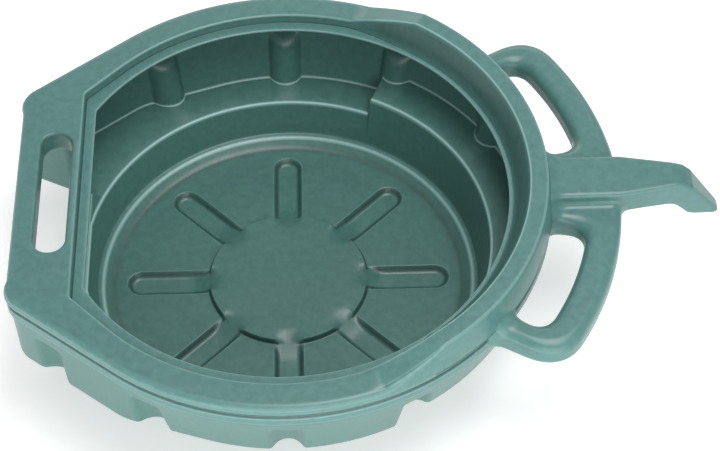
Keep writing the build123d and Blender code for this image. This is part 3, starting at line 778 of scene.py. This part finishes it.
# ------------------------------------------------------------------ materials
def plastic(name, colour, alt, rough):
    m = bpy.data.materials.new(name)
    m.use_nodes = True
    nt = m.node_tree
    bsdf = nt.nodes["Principled BSDF"]
    tc = nt.nodes.new("ShaderNodeTexCoord")
    big = nt.nodes.new("ShaderNodeTexNoise")
    big.inputs["Scale"].default_value = 9.0
    big.inputs["Detail"].default_value = 4.0
    big.inputs["Roughness"].default_value = 0.6
    fine = nt.nodes.new("ShaderNodeTexNoise")
    fine.inputs["Scale"].default_value = 900.0
    fine.inputs["Detail"].default_value = 3.0
    mid = nt.nodes.new("ShaderNodeTexNoise")
    mid.inputs["Scale"].default_value = 160.0
    mid.inputs["Detail"].default_value = 5.0
    for n in (big, fine, mid):
        nt.links.new(tc.outputs["Object"], n.inputs["Vector"])
    ramp = nt.nodes.new("ShaderNodeMapRange")
    ramp.inputs["From Min"].default_value = 0.3
    ramp.inputs["From Max"].default_value = 0.7
    nt.links.new(big.outputs["Fac"], ramp.inputs["Value"])
    mix = nt.nodes.new("ShaderNodeMix")
    mix.data_type = "RGBA"
    mix.inputs["A"].default_value = (*colour, 1)
    mix.inputs["B"].default_value = (*alt, 1)
    nt.links.new(ramp.outputs["Result"], mix.inputs["Factor"])
    speck = nt.nodes.new("ShaderNodeMapRange")
    speck.inputs["From Min"].default_value = 0.35
    speck.inputs["From Max"].default_value = 0.65
    speck.inputs["To Min"].default_value = 0.93
    speck.inputs["To Max"].default_value = 1.07
    nt.links.new(mid.outputs["Fac"], speck.inputs["Value"])
    geo = nt.nodes.new("ShaderNodeAttribute")
    geo.attribute_name = "painted_light"
    # Painted shade: where the attribute is negative the colour is darkened, down to about a third.
    painted_shade = nt.nodes.new("ShaderNodeMapRange")
    painted_shade.inputs["From Min"].default_value = -1.0
    painted_shade.inputs["From Max"].default_value = 0.0
    painted_shade.inputs["To Min"].default_value = 0.34
    painted_shade.inputs["To Max"].default_value = 1.0
    nt.links.new(geo.outputs["Fac"], painted_shade.inputs["Value"])
    mul = nt.nodes.new("ShaderNodeMath")
    mul.operation = "MULTIPLY"
    nt.links.new(speck.outputs["Result"], mul.inputs[0])
    nt.links.new(painted_shade.outputs["Result"], mul.inputs[1])
    scale = nt.nodes.new("ShaderNodeVectorMath")
    scale.operation = "SCALE"
    nt.links.new(mix.outputs["Result"], scale.inputs[0])
    nt.links.new(mul.outputs["Value"], scale.inputs["Scale"])
    # Painted highlight: where the attribute is positive the colour is mixed towards a pale cyan.
    painted_highlight_amount = nt.nodes.new("ShaderNodeMapRange")
    painted_highlight_amount.inputs["From Min"].default_value = 0.03
    painted_highlight_amount.inputs["From Max"].default_value = 1.0
    painted_highlight_amount.inputs["To Min"].default_value = 0.0
    painted_highlight_amount.inputs["To Max"].default_value = 0.85
    nt.links.new(geo.outputs["Fac"], painted_highlight_amount.inputs["Value"])
    painted_highlight = nt.nodes.new("ShaderNodeMix")
    painted_highlight.data_type = "RGBA"
    painted_highlight.inputs["B"].default_value = (0.36, 0.58, 0.56, 1)
    nt.links.new(scale.outputs["Vector"], painted_highlight.inputs["A"])
    nt.links.new(painted_highlight_amount.outputs["Result"], painted_highlight.inputs["Factor"])
    nt.links.new(painted_highlight.outputs["Result"], bsdf.inputs["Base Color"])
    rr = nt.nodes.new("ShaderNodeMapRange")
    rr.inputs["From Min"].default_value = 0.3
    rr.inputs["From Max"].default_value = 0.7
    rr.inputs["To Min"].default_value = rough - 0.05
    rr.inputs["To Max"].default_value = rough + 0.06
    nt.links.new(mid.outputs["Fac"], rr.inputs["Value"])
    nt.links.new(rr.outputs["Result"], bsdf.inputs["Roughness"])
    bump = nt.nodes.new("ShaderNodeBump")
    bump.inputs["Strength"].default_value = 0.12
    bump.inputs["Distance"].default_value = 0.0004
    nt.links.new(fine.outputs["Fac"], bump.inputs["Height"])
    nt.links.new(bump.outputs["Normal"], bsdf.inputs["Normal"])
    bsdf.inputs["IOR"].default_value = 1.5
    return m


rim_mat = plastic("rim_moulded", (0.073, 0.180, 0.168), (0.077, 0.187, 0.173), 0.33)
# The bowl's plastic is the rim's plastic made darker: painted shade standing in for the darker inside of the bowl.
bowl_mat = plastic("bowl_moulded", (0.061, 0.153, 0.139), (0.066, 0.168, 0.146), 0.35)
for ob in (rim, collar, grips):
    ob.data.materials.clear()
    ob.data.materials.append(rim_mat)
bowl.data.materials.clear()
bowl.data.materials.append(bowl_mat)

# ------------------------------------------------------------------ floor, light, camera
bm = bmesh.new()
bmesh.ops.create_grid(bm, x_segments=8, y_segments=8, size=6.0)
me = bpy.data.meshes.new("floor")
bm.to_mesh(me)
bm.free()
floor = bpy.data.objects.new("floor", me)
bpy.context.scene.collection.objects.link(floor)
fm = bpy.data.materials.new("paper")
fm.use_nodes = True
fb = fm.node_tree.nodes["Principled BSDF"]
fn_ = fm.node_tree.nodes.new("ShaderNodeTexNoise")
fn_.inputs["Scale"].default_value = 6.0
fr = fm.node_tree.nodes.new("ShaderNodeMapRange")
fr.inputs["To Min"].default_value = 0.80
fr.inputs["To Max"].default_value = 0.84
fc = fm.node_tree.nodes.new("ShaderNodeCombineColor")
fm.node_tree.links.new(fn_.outputs["Fac"], fr.inputs["Value"])
for k in range(3):
    fm.node_tree.links.new(fr.outputs["Result"], fc.inputs[k])
fm.node_tree.links.new(fc.outputs["Color"], fb.inputs["Base Color"])
fb.inputs["Roughness"].default_value = 0.9
fb.inputs["Emission Color"].default_value = (1.0, 1.0, 1.0, 1)
fb.inputs["Emission Strength"].default_value = 0.35
floor.data.materials.append(fm)

world = bpy.data.worlds.new("studio")
bpy.context.scene.world = world
world.use_nodes = True
world.node_tree.nodes["Background"].inputs["Color"].default_value = (1.0, 1.0, 1.0, 1)
world.node_tree.nodes["Background"].inputs["Strength"].default_value = 0.40


def area(name, loc, target, size, power, size_y=None):
    d = bpy.data.lights.new(name, "AREA")
    d.energy = power
    d.shape = "RECTANGLE"
    d.size = size
    d.size_y = size_y or size
    o = bpy.data.objects.new(name, d)
    bpy.context.scene.collection.objects.link(o)
    o.location = loc
    o.rotation_euler = (Vector(target) - Vector(loc)).to_track_quat("-Z", "Y").to_euler()
    return o


area("top", (0.34, 0.0, 2.0), (0, 0, 0.1), 1.3, 27, 1.0)
area("front", (0.4, -1.7, 1.15), (0, 0.1, 0.1), 2.0, 15, 0.7)
area("back", (0.1, 1.9, 1.0), (0, 0.1, 0.12), 2.0, 9, 0.5)
area("low_front", (0.0, -1.5, 0.075), (0, 0, 0.075), 2.6, 15, 0.13)
area("low_left", (-1.5, -0.4, 0.075), (0, 0, 0.075), 1.8, 7, 0.13)

cam = bpy.data.cameras.new("cam")
cam.lens = 2063.04 / 720.0 * 36.0
cam.sensor_width = 36.0
cam.clip_end = 100.0
camo = bpy.data.objects.new("cam", cam)
bpy.context.scene.collection.objects.link(camo)
right = Vector((0.9996154, -0.02736059, -0.00452265)).normalized()
up = Vector((0.02410028, 0.77639906, 0.62978065)).normalized()
fwd = Vector((0.01371978, 0.62964744, -0.77675986)).normalized()
rot = Matrix((right, up, -fwd)).transposed()
camo.matrix_world = Matrix.Translation(Vector(((41.664 + BOWL_X) * 0.001, -1.180437, (1529.372 + 13.0) * 0.001))) @ rot.to_4x4()
bpy.context.scene.camera = camo
bpy.context.scene.view_settings.view_transform = "Standard"
